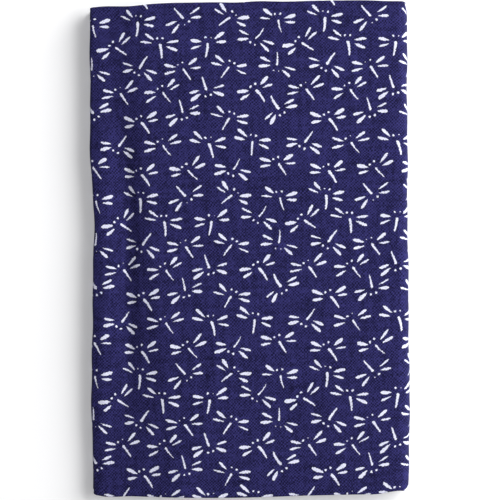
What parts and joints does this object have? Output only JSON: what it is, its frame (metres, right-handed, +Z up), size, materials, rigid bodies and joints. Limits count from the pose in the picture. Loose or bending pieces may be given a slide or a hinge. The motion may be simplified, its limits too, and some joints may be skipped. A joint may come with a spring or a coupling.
{
  "type": "folded cotton hand towel",
  "caption": "Thin printed cotton towel folded flat into a neat rectangular stack, with broad folds on one long side and loose ends tucked inside.",
  "frame": {"origin": "centre of the folded stack's footprint, on the surface that it rests on", "axes": "+Z up, +X towards the long side where the broad nested folds lie, +Y along the long sides, towards the end of the stack where the side edges of the cloth show"},
  "size_m": [0.1128, 0.1754, 0.0109],
  "materials": {
    "navy_cotton": "matt printed plain-weave cotton, navy with white dragonflies"
  },
  "bodies": {
    "root": {"towel_cloth": "navy_cotton"}
  },
  "joints": []
}
